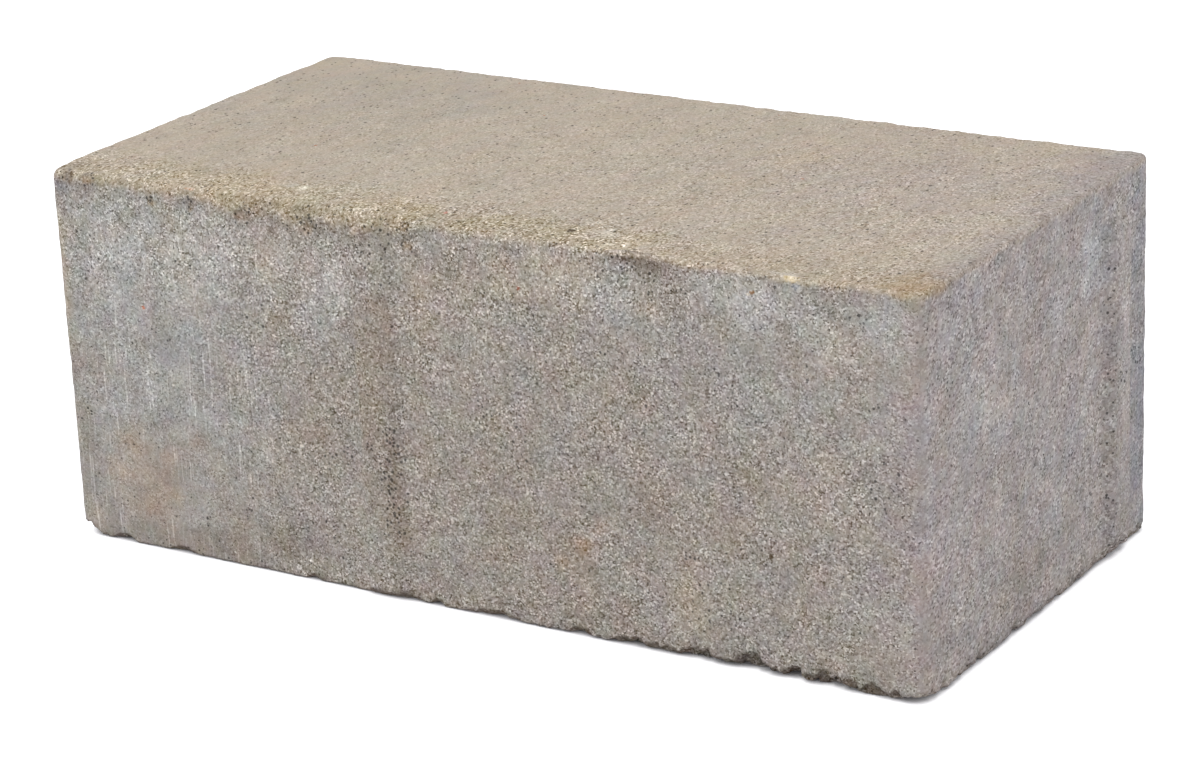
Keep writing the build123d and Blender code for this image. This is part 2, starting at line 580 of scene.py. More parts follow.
# Patches on the right end: colour, place along Y, height, reach along Y, reach up, amount
END_PATCHES = (
    (MAUVE, -43, 40, 7, 60, 0.5),
    (FROST, 23, 68, 8, 14, 0.65),
    (CREAM, -22, 48, 9, 9, 0.3),
    (FROST, -30, 46, 6, 7, 0.3),
    (FROST, 15, 35, 7, 9, 0.3),
    (FROST, -20, 45, 7, 8, 0.45),
    (CHALK, -12, 54, 2, 5, 0.35),
    (FROST, 20, 40, 5, 5, 0.4),
    (CHALK, -4, 37, 1.5, 1.5, 0.5),
    (FROST, -5, 27, 8, 6, 0.3),
    (FROST, 8, 60, 3, 12, 0.35),
    (FROST, -12, 54, 3, 9, 0.4),
    (CHALK, 20, 70, 2.5, 5, 0.3),
    (FROST, -32, 60, 4, 12, 0.3),
    (FROST, 6, 18, 4, 7, 0.3),
    (BROWN, 19, 53, 3, 6, 0.2),
    (BROWN, -2, 62, 4, 8, 0.12),
    (BROWN, -26, 30, 5, 10, 0.12),
    (CHALK, -15, 20, 3, 4, 0.3),
    (BROWN, -8, 9, 18, 10, 0.25),
    (EARTH_AND_SHADE, 30, 40, 4, 60, 0.16),
    (CREAM, 37, 57, 4, 5, 0.35),
    # The next two rows paint shade on the strip behind the end rib, which lies in the rib's shadow
    (SLATE, 47, 40, 9, 90, 0.6),
    (SLATE, 47, 22, 8, 46, 0.6),
    (FROST, 46, 40, 8, 90, 0.14),
    (CHALK, -36, 40, 12, 60, 0.04),
    (CHALK, 20, 66, 5, 9, 0.2),
    (EARTH_AND_SHADE, 0, 1, 60, 4, 0.15),
    (EARTH_AND_SHADE, 15, 17, 9, 14, 0.11),
    (CHALK, -18, 28, 8, 14, 0.08),
    (CHALK, 5, 68, 6, 9, 0.06),
)

# Patches on the wear face: colour, place along X, place along Y, reach along X, reach along Y, amount
TOP_PATCHES = (
    ((172, 163, 151), -70, 25, 50, 40, 0.7),
    ((175, 163, 155), 70, 12, 50, 45, 0.7),
    (ORANGE, 38, 21, 12, 12, 0.15),
    (OLIVE, -60, -43, 60, 12, 0.55),
    (OLIVE, 10, -45, 60, 10, 0.7),
    (BROWN, 5, -41, 36, 14, 0.09),
    (BROWN, 70, -42, 36, 14, 0.07),
    (SAND, 70, -46, 40, 8, 0.45),
    (CHALK, -46, -39, 2.2, 2.2, 0.6),
    (CREAM, 29, -42, 6, 5, 0.6),
    (CREAM, 72, -48.5, 5, 2.0, 0.9),
    (CHALK, 86, -9, 4, 4, 0.15),
    (ORANGE, 86, -47.5, 13, 4, 0.15),
    (EARTH_AND_SHADE, -98, -48, 8, 8, 0.25),
    (SAND, -72, 2, 9, 9, 0.3),
    (EARTH_AND_SHADE, -87, 13, 3, 4, 0.15),
    (EARTH_AND_SHADE, -46, 36, 3, 4, 0.15),
    (EARTH_AND_SHADE, -85, -12, 4, 4, 0.15),
    (EARTH_AND_SHADE, 30, 35, 3, 4, 0.15),
    (MAUVE, 98, 38, 14, 32, 0.65),
)

# Stain on the front right corner of the wear face
STAIN_PLACE = np.array([97.0, -43.5, HEIGHT])
STAIN_REACH = np.array([11.0, 9.5, 4.5])

# Clouds on the hidden sides: colour, amount, size, number of the noise, its strength and its shift
HIDDEN_CLOUDS = (
    (MILK, 0.45, 24, 50, 1.3, 0.2),
    (BROWN, 0.25, 16, 51, 1.6, -0.2),
    (CREAM, 0.40, 12, 52, 1.6, -0.4),
)

# Clouds of paste in sRGB steps, and of light as a share, with layers of noise as strength, size and number
LIGHT_CLOUDS = ((0.020, 3.6, 80), (0.018, 7.5, 81))
WIDE_LIGHT_CLOUDS = ((0.012, 16, 82),)
WARM_CLOUDS = ((4.0, 2.6, 83), (5.6, 6.0, 84), (3.4, 12, 87))
PINK_CLOUDS = ((3.8, 2.4, 85), (3.4, 5.0, 86), (1.0, 10, 88))
WARMER = np.array([0.5, 0.0, -0.5])
PINKER = np.array([0.4, -0.4, 0.4])

# Edges of patches: the share of the reach at which they end, and the numbers of the noise in them
PATCH_END_SHARE = 1.05
PATCH_EDGES = range(30, 37)

# Brown of a rib's face: how far it goes past the flat, how soft it ends, and how ragged
RIB_FACE_MARGIN = 1.0
RIB_FACE_FADE = 1.2
RIB_FACE_RAGGED = 0.3

# Sandy strip along the front of the wear face: where it begins and is full, and where it fades to the right
STRIP_Y = (-28, -44)
STRIP_FADES_X = (20, 60)

# Grey margin of the wear face along its right edge
MARGIN_WIDTH = 9.0


def paint(tone, colour, amount):
    """Lays a colour over a tone by that amount."""
    return tone + amount[:, None] * (np.asarray(colour, float) - tone)


def ragged_edges(points):
    """A few fields of noise that eat into the edges of patches, so that no patch is plainly round."""
    return [layered(points, ((0.40, 6.0, number), (0.30, 2.2, number + 1))) for number in PATCH_EDGES]


def painted(tone, patches, across, up, cover, ragged):
    """Lays all patches of one side, each over those before it: full in the middle, nothing at the reach."""
    for number, (colour, place_a, place_b, reach_a, reach_b, amount) in enumerate(patches):
        away = np.hypot((across - place_a) / reach_a, (up - place_b) / reach_b)
        shape = smooth_step(PATCH_END_SHARE - away + ragged[number % len(ragged)])
        tone = paint(tone, colour, cover * amount * shape)
    return tone


def side_tone(points, weights, ragged):
    """Tone of the four upright sides."""
    x, y, z = points.T
    tone = np.tile(np.array(SIDE_GREY, float), (len(points), 1))
    tone = paint(tone, END_MAUVE, weights["right"] + 0.5 * weights["left"])
    tone = painted(tone, FRONT_PATCHES, x, z, weights["front"], ragged)
    tone = painted(tone, END_PATCHES, y, z, weights["right"], ragged)

    for colour, amount, size, number, strength, shift in HIDDEN_CLOUDS:
        cloud = smooth_step(strength * noise(points, size, number) + shift)
        tone = paint(tone, colour, weights["hidden"] * amount * cloud)
    return tone


def rib_face(along, ragged):
    """1 on the flat of a rib, by the distance along the side from its middle, and 0 beside it."""
    inside = RIB_HALF_FLAT + RIB_FACE_MARGIN - np.abs(along) + RIB_FACE_RAGGED * ragged
    return smooth_step(inside / RIB_FACE_FADE)


def hidden_rib_tone(points, tone, weights):
    """Brownish face and darker flank of the ribs on the back and the left end."""
    x, y, z = points.T
    ragged = layered(points, ((0.8, 4.0, 62), (0.5, 1.8, 63)))
    below_top = eased(z, RIB_TOP, RIB_TOP - RIB_RUN_OUT)
    ribs = [("back", -x - rib, 1) for rib in LONG_SIDE_RIBS] + [("left", -y - END_RIB, -1)]
    for side, along, inner_flank in ribs:
        tone = paint(tone, BROWN, weights[side] * 0.14 * rib_face(along, ragged) * below_top)
        flank = hump(along + 0.6 * ragged, inner_flank * (RIB_HALF_FLAT + 0.6), 2.6)
        tone = paint(tone, EARTH_AND_SHADE, weights[side] * 0.30 * flank * below_top)
    return tone


def rib_tone(points, tone, weights):
    """Brownish face and dark, pitted flank of the clear rib on the front."""
    along = points[:, 0] - LONG_SIDE_RIBS[0]
    z = points[:, 2]
    ragged = layered(points, ((0.8, 4.0, 60), (0.5, 1.8, 61)))
    height = eased(z - 4 * ragged, 70, 56) * eased(z, 10, 30)
    tone = paint(tone, BROWN, weights["front"] * 0.28 * rib_face(along, ragged) * height)
    flank = hump(along + 0.8 * ragged, RIB_HALF_FLAT - 0.6, 3.0)
    low = eased(z - 6 * ragged, 46, 36) * eased(z, 8, 16)
    high = eased(z, 66, 70)
    return paint(tone, EARTH_AND_SHADE, weights["front"] * flank * (0.26 * low + 0.16 * high + 0.08))


def hole_tone(points, tone):
    """Crumb holes of the worn arris: painted shade under their upper edge, and rusty below."""
    for place, high, radius in CRUMB_HOLES:
        away = hole_distance(points, place, high) / radius
        shape = smooth_step((1.55 + 0.5 * noise(points, 1.6, 66) - away) * 1.6)
        upper = smooth_step((points[:, 2] - high) / radius + 0.5)
        tone = paint(tone, RUST, 0.4 * shape * (1 - upper))
        # Painted shade in the upper part of each hole, under its rim
        tone = paint(tone, PAINTED_SHADE_BROWN, 0.5 * shape * upper)
    return tone


def stain_tone(points, tone):
    """Golden stain on the front right corner of the wear face, which runs over its edge."""
    away = np.linalg.norm((points - STAIN_PLACE) / STAIN_REACH, axis=1)
    ragged = layered(points, ((0.4, 5.0, 67), (0.3, 2.0, 68)))
    return paint(tone, GOLD, 0.6 * smooth_step(PATCH_END_SHARE - away + ragged))


def scoop_tone(points, tone):
    """Painted shadow in the scoop, darkest right under the overhanging edge of the wear face, and a pale lip
    at its lower left.
    """
    x, y, z = points.T
    front = eased(-y, HALF_WIDTH - 6, HALF_WIDTH - 3)
    below = HEIGHT - z
    across = np.abs(x - SCOOP_X - 1.0) / (SCOOP_LENGTH / 2)
    shape = smooth_step((1.05 - across + 0.25 * noise(points, 3.0, 65)) * 2)
    dark = eased(below, 5.8, 1.8) * eased(below, 0.9, 1.6)
    # Painted shadow under the overhanging edge of the wear face
    tone = paint(tone, EARTH_AND_SHADE, front * 0.7 * shape * dark)
    lip = hump(x, SCOOP_X - 3.0, 3.0) * hump(below, 3.6, 0.8)
    return paint(tone, CHALK, front * 0.8 * lip)


def bed_edge_painted_shade(points, tone, outward):
    """Painted shade on what faces down along the broken bed edge: most at the front."""
    under = hump(-outward[:, 2], 0.65, 0.35) * eased(points[:, 2], 6, 3)
    front = eased(points[:, 1], -40, -48)
    return paint(tone, PAINTED_SHADE_BROWN, (0.25 + 0.4 * front) * under)


def top_tone(points, tone, weights, ragged):
    """Beige wear face, which runs over the arris: a long way where the arris is worn round."""
    x, y, z = points.T
    worn = worn_stretch(points)
    front = near_front(points)
    reach = 0.9 + 2.3 * worn + 0.8 * front * hump(x, SCOOP_X, 0.6 * SCOOP_LENGTH)
    wander = (0.4 + 0.9 * worn) * layered(points, ((1.0, 4.0, 70), (0.7, 1.6, 71)))
    edge = z - HEIGHT + reach + wander
    soft_front = front * eased(x, SCOOP_X - 6, SCOOP_X - 16)
    softness = 1.2 + 1.4 * np.maximum(soft_front, weights["right"])
    cover = smooth_step(edge / softness + 0.5)
    tone = paint(tone, WEAR_BEIGE, cover)
    tone = painted(tone, TOP_PATCHES, x, y, cover * np.maximum(weights["top"], 0.7 * worn), ragged)
    # Painted shade on the arris where the wear face rolls over it, which keeps the arris from showing a
    # bright rim
    rolled_painted_shade = cover * eased(z, HEIGHT, HEIGHT - 1.2)
    tone = paint(tone, OLIVE_PAINTED_SHADE, (0.35 + 0.25 * worn) * rolled_painted_shade)
    # Painted shadows of small crumbs at the lower end of the beige along the worn arris
    crumbs = worn * hump(edge, -0.6, 2.2) * smooth_step(1.8 * noise(points, 1.8, 72) + 0.5)
    tone = paint(tone, EARTH_AND_SHADE, 0.5 * crumbs)
    margin = eased(x + 2 * noise(points, 4.0, 73), HALF_LENGTH - MARGIN_WIDTH, HALF_LENGTH)
    return paint(tone, END_MAUVE, 0.65 * cover * margin * eased(y, -46, -38))


def streak_amount(points, weights):
    """How much the upright drag marks of the mould show: most at the lower left of the front."""
    x, y, z = points.T
    front = eased(x, -102, -94) * eased(x, -34, -58) * (0.4 + 0.6 * eased(z, 62, 38))
    end = 0.5 * eased(y, -40, 0)
    hidden = 0.5 * smooth_step(0.5 + noise(points, 30, 75))
    marked = weights["front"] * front + weights["right"] * end + weights["hidden"] * hidden
    return marked * smooth_step(0.7 + 1.4 * noise(points, 14, 76))


def flank_dirt(points, weights):
    """How many small dark pits stand open on the flanks of the ribs."""
    x, y, z = points.T
    low = eased(z, 40, 32) * eased(z, 8, 16)
    high = eased(z, 62, 68)
    front = hump(x, LONG_SIDE_RIBS[0] + RIB_HALF_FLAT - 1.2, 6.0) * (low + 0.5 * high + 0.2)
    end = 0.58 * hump(y, END_RIB - RIB_HALF_FLAT, 5.5) * eased(z, 72, 62)
    left = 0.5 * hump(-y, END_RIB - RIB_HALF_FLAT, 4.0)
    flanks = [weights["front"] * front, weights["right"] * end, weights["left"] * left]
    for rib in LONG_SIDE_RIBS:
        flanks.append(0.5 * weights["back"] * hump(-x, rib + RIB_HALF_FLAT, 4.0))
    return np.max(flanks, axis=0)


def dirt_amount(points, weights, broken):
    """How many small dark pits stand open: many on flanks, broken edges and crumb holes, few elsewhere."""
    x, y, z = points.T
    upright = weights["upright"]
    clusters = 0.45 * smooth_step(2.2 * noise(points, 11, 90) - 0.4)
    strip = eased(y, *STRIP_Y) * (1 - 0.5 * eased(x, *STRIP_FADES_X))
    dirt = 0.12 + 0.30 * weights["top"] * strip + upright * clusters
    bed_edge = 0.45 * upright * eased(z, 6, 0)
    crumbs = smooth_step(0.5 + 1.6 * noise(points, 3.2, 91))
    arris = 0.65 * worn_stretch(points) * hump(z, HEIGHT - 2.6, 2.8) * crumbs
    under_edge = 0.36 * weights["front"] * hump(z, HEIGHT - 6, 6) * eased(x, -20, -5) * eased(x, 45, 30)
    dirt = np.max([dirt, bed_edge, arris, under_edge, flank_dirt(points, weights), 0.5 * broken], axis=0)
    for place, high, radius in CRUMB_HOLES:
        away = hole_distance(points, place, high) / radius
        dirt = np.maximum(dirt, 0.9 * smooth_step(2.6 - away))
    return dirt


def grain_amount(points, weights, broken):
    """How strongly single grains stand out: strong on the front and the worn edges, faint on the top."""
    x, y, z = points.T
    lower_left = (0.08 + 0.22 * eased(z, 66, 50) + 0.17 * eased(z, 34, 18)) * eased(x, -40, -70)
    upper_right = 0.15 * eased(x, 46, 62) * eased(z, 46, 62)
    front = 0.82 - lower_left - upper_right - 0.2 * eased(x, 84, 100)
    strip = eased(y, *STRIP_Y) * (0.54 - 0.40 * eased(x, *STRIP_FADES_X))
    top = 0.37 + 0.0016 * x - 0.14 * eased(y, 0, 50) + strip
    side = weights["front"] * front + weights["back"] * 0.8 + weights["end"] * 0.51
    near_corner = 4 * weights["front"] * weights["right"]
    grain = side * (1 - 0.45 * near_corner) + weights["top"] * top + weights["bed"]
    patchy = 1 + layered(points, ((0.30, 9, 78), (0.25, 4, 79)))
    return np.maximum(grain, 0.8 * broken) * patchy


def mottled(points, tone, weights):
    """Clouds of lighter, warmer and pinker paste, a few millimetres wide, and longer across the wear face."""
    x, y, z = points.T
    place = np.stack([x, (y + HALF_WIDTH) / (1 + weights["top"]), z], axis=1)
    left = weights["front"] * eased(x, -30, -50)
    cloudy = 1 + 2.4 * weights["right"] + 1.8 * left
    light = cloudy * layered(place, LIGHT_CLOUDS) + layered(place, WIDE_LIGHT_CLOUDS)
    colourful = 1 - 0.45 * weights["top"]
    warm = colourful * layered(place, WARM_CLOUDS)
    pink = colourful * layered(place, PINK_CLOUDS)
    return tone * (1 + light)[:, None] + warm[:, None] * WARMER + pink[:, None] * PINKER


# The stone's mesh

def side_weights(facing):
    """How much each point belongs to each side, and to some groups of them, by the direction it faces."""
    weights = {}
    for side, (axis, sign, _, _) in SIDES.items():
        weights[side] = np.maximum(sign * facing[:, axis], 0) ** 2
    weights["lying"] = weights["bed"] + weights["top"]
    weights["end"] = weights["left"] + weights["right"]
    weights["upright"] = weights["front"] + weights["back"] + weights["end"]
    weights["hidden"] = weights["back"] + weights["left"]
    return weights


def stone_surface():
    """Points of the worn stone, its squares with their sides, and the tone and looks of each point."""
    lattice, squares, square_sides = block_lattice()
    wear = edge_wear(lattice)

    def worn(points):
        return stone_distance(points, wear)

    def ribless(points):
        return moulded_distance(points, wear, 0.0)

    points = settle(worn, lattice)
    facing = slope_of(ribless, settle(ribless, lattice))
    facing /= np.linalg.norm(facing, axis=1, keepdims=True)
    outward = slope_of(worn, points)
    outward /= np.maximum(np.linalg.norm(outward, axis=1, keepdims=True), 1e-6)

    gone = -moulded_distance(points, wear, rib_height(points))
    broken = eased(gone, *BROKEN_DEPTHS)
    weights = side_weights(facing)
    rib = rib_height(points) / RIB_STAND_OUT
    open_share = weights["upright"] * (SIDE_HOLLOWS + RIB_HOLLOWS * rib) + BROKEN_HOLLOWS * broken
    hollows = hollow_depth(points, open_share)
    points = points + outward * (relief(points, outward, broken) - HOLLOW_DEPTH * hollows)[:, None]
    points = np.clip(points, BOX_LOW, BOX_HIGH)

    ragged = ragged_edges(points)
    tone = side_tone(points, weights, ragged)
    tone = rib_tone(points, tone, weights)
    tone = hidden_rib_tone(points, tone, weights)
    tone = top_tone(points, tone, weights, ragged)
    tone = stain_tone(points, tone)
    tone = scoop_tone(points, tone)
    tone = hole_tone(points, tone)
    # Painted shade on the downward faces of the broken bed edge
    tone = bed_edge_painted_shade(points, tone, outward)
    tone = paint(tone, EARTH_AND_SHADE, 0.5 * hollows)
    tone = mottled(points, tone, weights)
    looks = {
        "grain": grain_amount(points, weights, broken),
        "streak": streak_amount(points, weights),
        "dirt": dirt_amount(points, weights, broken),
        "lying": weights["lying"],
        "end": weights["end"],
    }
    return points, squares, square_sides, linear(tone), looks


def box_map(points, squares, square_sides):
    """Flat map of the six sides for baking: each side lies upright in its own place on a square sheet."""
    gap = 4.0
    long_side = BOX_HIGH[0] - BOX_LOW[0]
    short_side = BOX_HIGH[1] - BOX_LOW[1]
    row_tops = np.cumsum([gap, short_side + gap, HEIGHT + gap, HEIGHT + gap])
    sheet = max(long_side + short_side + 3 * gap, row_tops[-1] + HEIGHT + gap)
    right_column = long_side + 2 * gap
    # For each side: the two axes across and up the sheet, and the place of its lower left corner
    layout = {
        "top": (0, 1, gap, row_tops[0]),
        "front": (0, 2, gap, row_tops[1]),
        "back": (0, 2, gap, row_tops[2]),
        "left": (1, 2, gap, row_tops[3]),
        "right": (1, 2, short_side + 2 * gap, row_tops[3]),
        "bed": (1, 0, right_column, gap),
    }
    places = np.empty((len(squares), 4, 2))
    for number, side in enumerate(SIDES):
        chosen = square_sides == number
        across, up, left, bottom = layout[side]
        corner = points[squares[chosen]]
        places[chosen, :, 0] = left + corner[..., across] - BOX_LOW[across]
        places[chosen, :, 1] = bottom + corner[..., up] - BOX_LOW[up]
    return places / sheet


def stone_object():
    """The stone as one mesh object in metres."""
    points, squares, square_sides, tone, looks = stone_surface()
    mesh = bpy.data.meshes.new("paving_stone_visual")
    mesh.from_pydata((points * MM).tolist(), [], squares.tolist())
    mesh.polygons.foreach_set("use_smooth", np.ones(len(squares), bool))

    colours = np.concatenate([tone, np.ones((len(points), 1))], axis=1)
    mesh.attributes.new("tone", "FLOAT_COLOR", "POINT").data.foreach_set("color", colours.ravel())
    for name, amounts in looks.items():
        mesh.attributes.new(name, "FLOAT", "POINT").data.foreach_set("value", amounts)
    bake_map = mesh.uv_layers.new(name="OFBake")
    bake_map.data.foreach_set("uv", box_map(points, squares, square_sides).ravel())
    mesh.validate()
    mesh.update()
    stone = bpy.data.objects.new("paving_stone_visual", mesh)
    bpy.context.scene.collection.objects.link(stone)
    return stone


# Node trees

class Nodes:
    """Adds nodes to one node tree and hands back their sockets."""

    def __init__(self, tree):
        self.tree = tree
        tree.nodes.clear()

    def add(self, kind, settings=None, **inputs):
        """One node; inputs are numbers, colours or sockets, by the names of its sockets."""
        node = self.tree.nodes.new(kind)
        for name, value in (settings or {}).items():
            setattr(node, name, value)
        for name, value in inputs.items():
            self.feed(node.inputs[name.replace("_", " ")], value)
        return node

    def feed(self, socket, value):
        """Links a socket to the input, or sets the input to a plain value."""
        if isinstance(value, bpy.types.NodeSocket):
            self.tree.links.new(value, socket)
        else:
            socket.default_value = value

    def result(self, kind, settings, values):
        """First output of one node, with the values in the order of its inputs."""
        node = self.add(kind, settings)
        for socket, value in zip(node.inputs, values):
            self.feed(socket, value)
        return node.outputs[0]

    def math(self, operation, *numbers):
        """Result of one sum on plain numbers."""
        return self.result("ShaderNodeMath", {"operation": operation}, numbers)

    def vector(self, operation, *vectors):
        """Result of one sum on vectors or colours, axis by axis or channel by channel."""
        return self.result("ShaderNodeVectorMath", {"operation": operation}, vectors)

    def scaled(self, vector, amount):
        """Vector or colour times one number."""
        node = self.add("ShaderNodeVectorMath", {"operation": "SCALE"}, Vector=vector, Scale=amount)
        return node.outputs[0]

    def attribute(self, name, output="Fac"):
        """What the mesh holds under that name at each of its points."""
        return self.add("ShaderNodeAttribute", {"attribute_name": name}).outputs[output]

    def clouds(self, where, size, output="Fac", **settings):
        """Smooth noise, with clouds of about that size."""
        return self.add("ShaderNodeTexNoise", Vector=where, Scale=1 / size, **settings).outputs[output]

    def ramp(self, value, low, high, start=0.0, end=1.0):
        """Value carried from one range to another, held at both ends."""
        return self.result("ShaderNodeMapRange", {"clamp": True}, (value, low, high, start, end))

    def mixed(self, amount, first, second):
        """Colour between two colours."""
        node = self.add("ShaderNodeMix", {"data_type": "RGBA"})
        self.feed(node.inputs["Factor"], amount)
        self.feed(node.inputs[6], first)
        self.feed(node.inputs[7], second)
        return node.outputs[2]


# Sizes of what the concrete is made of, and how far each makes it lighter or darker in even steps
PLAIN_STRETCH = (1.0, 1.0, 1.0, 1.0)
LYING_STRETCH = (1.0, 1.4, 1.0, 1.0)
END_GRAIN_STRETCH = (1.0, 1.6, 1.25, 1.0)
SAND_SIZE = 0.335
SAND_LIGHT = 0.16
SAND_TAIL = 0.31
GRIT_SIZE = 0.95
GRIT_LIGHT = 0.03
CLUMP_SIZE = 2.4
CLUMP_LIGHT = 0.04
CLUMP_RANGE = (0.2, 0.8)
PIT_SPACING = 0.95
PIT_OPENS = (0.9, 1.5)
PIT_WIDEST_SHARE = 0.42
PIT_SOFT_SHARE = 0.12
PIT_DARK = 0.70
PORE_SPACING = 1.1
PORE_OPENS = (0.4, 1.0)
PORE_SHARES = (0.05, 0.30)
PORE_UNEVEN_SHARE = 0.08
PORE_SOFT_SHARE = 0.06
UPRIGHT_PORE_SHARE = 0.8
PORE_DARK = 0.6
HUE_SIZE = 1.6
HUE_SPREAD = 0.06
STREAK_SIZE = (0.5, 0.5, 9.0)
STREAK_SHOWS = (0.60, 0.74)
STREAK_LIGHT = 0.27
SPECK_SPACING = 6.5
SPECK_OPENS = (0.4, 1.0)
SPECK_WIDEST_SHARE = 0.07
SPECK_SOFT_SHARE = 0.012
RED_SPECK_FROM = 0.85
WARM_GRAIN = (1.015, 1.0, 0.98, 1)
COOL_GRAIN = (0.988, 1.0, 1.018, 1)
PALE_SPECK = (214, 208, 198)
RED_SPECK = (172, 118, 90)
EVEN_STEPS = 2.2
PALE_GRAIN_SHARE = 0.65
BUMP_HEIGHT = 0.15
BUMP_STRENGTH = 0.6
DOME_REACH = 0.7
DOME_RISE = 0.5
GRIT_RISE = 0.6
ROUGHNESS = (0.98, 0.86)
SHEEN = 0.25

# Outlines of the single grains: where they end, and how far sand and clumps eat into them
PEBBLE_ENDS = (1.2, 1.6)
PEBBLE_SAND = 0.5
PEBBLE_CLUMPS = 0.8

# Single grains that stand out: place, half sizes along X, Y and Z, colour
PEBBLES = (
    ((-77.8, -50.0, 52.9), (0.6, 1.0, 0.6), (190, 130, 106)),
    ((-64.0, -49.6, 79.7), (1.8, 1.4, 0.4), (206, 170, 144)),
    ((-43.0, -39.5, 80.0), (1.6, 2.4, 0.8), (222, 214, 196)),
    ((-6.9, -42.0, 80.0), (0.5, 0.9, 0.8), (200, 150, 136)),
    ((14.3, -50.0, 69.8), (0.5, 1.0, 0.6), (160, 114, 98)),
    ((21.8, -41.9, 80.0), (1.0, 1.2, 0.8), (104, 92, 76)),
    ((24.1, -35.4, 80.0), (1.2, 1.2, 0.8), (216, 206, 192)),
    ((28.6, -39.5, 80.0), (1.2, 2.6, 0.8), (208, 200, 188)),
    ((36.0, -46.0, 80.0), (1.2, 2.4, 0.8), (212, 200, 182)),
    ((65.4, -50.0, 75.9), (0.8, 1.0, 0.5), (164, 138, 116)),
    ((64.6, -50.0, 75.4), (0.6, 1.0, 0.4), (222, 214, 200)),
    ((67.7, -50.0, 24.4), (0.8, 1.0, 0.8), (96, 84, 70)),
    ((73.2, -49.6, 79.7), (2.2, 1.4, 0.9), (228, 212, 182)),
    ((74.6, -50.0, 78.2), (1.0, 1.0, 0.7), (150, 151, 152)),
    ((79.4, -50.0, 21.6), (0.8, 1.0, 0.7), (96, 84, 70)),
)


def cell_grains(nodes, where, size):
    """Grains of that size: two chances for each grain, and the distance from its middle in sizes."""
    cells = nodes.add("ShaderNodeTexVoronoi", Vector=where, Scale=1 / size)
    chances = nodes.add("ShaderNodeSeparateColor", Color=cells.outputs["Color"])
    return chances.outputs[0], chances.outputs[1], cells.outputs["Distance"]


def with_pebbles(nodes, where, unevenness, colour):
    """Lays the single grains over a colour; the unevenness, from 0 to 1, eats into their outlines."""
    for place, half_sizes, pebble in PEBBLES:
        offset = nodes.vector("DIVIDE", nodes.vector("SUBTRACT", where, place), half_sizes)
        away = nodes.add("ShaderNodeVectorMath", {"operation": "LENGTH"}, Vector=offset).outputs["Value"]
        inside = nodes.ramp(nodes.math("ADD", unevenness, away), *PEBBLE_ENDS, 1.0, 0.0)
        colour = nodes.mixed(inside, colour, (*linear(pebble), 1))
    return colour


